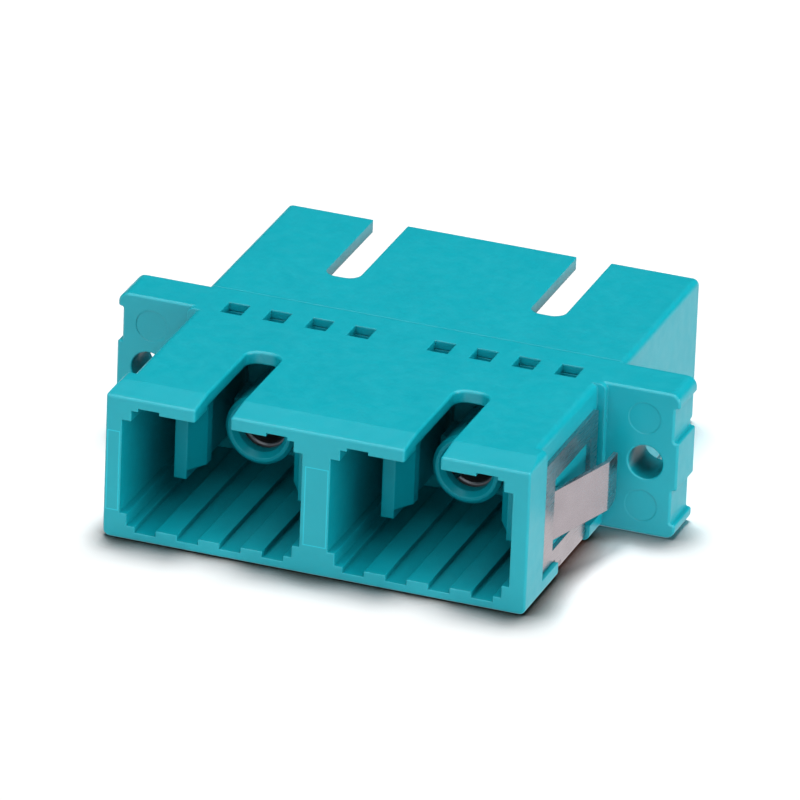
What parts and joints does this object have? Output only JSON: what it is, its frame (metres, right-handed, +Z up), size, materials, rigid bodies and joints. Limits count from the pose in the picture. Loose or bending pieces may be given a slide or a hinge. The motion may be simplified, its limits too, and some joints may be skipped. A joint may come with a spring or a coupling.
{
  "type": "duplex sc fibre adapter",
  "caption": "Duplex SC fibre-optic adapter with a flanged moulded housing, a folded spring clip, latching inserts and split alignment sleeves in ports open at both ends.",
  "frame": {"origin": "under the middle of the part, on its lowest plane, where the two fibre ends meet", "axes": "+X across the two ports towards the right-hand screw hole, +Y from the clip's end to the plain end along the fibres, +Z up towards the key slots"},
  "size_m": [0.0344, 0.0292, 0.0091],
  "materials": {
    "housing": "satin aqua moulding",
    "insert": "satin aqua moulding",
    "spring_steel": "bright rolled strip",
    "sleeve": "smooth dark metal tube"
  },
  "bodies": {
    "root": {"front_housing": "housing", "rear_housing": "housing", "mounting_clip": "spring_steel", "left_front_insert": "insert", "left_rear_insert": "insert", "right_front_insert": "insert", "right_rear_insert": "insert", "left_sleeve": "sleeve", "right_sleeve": "sleeve"}
  },
  "joints": []
}
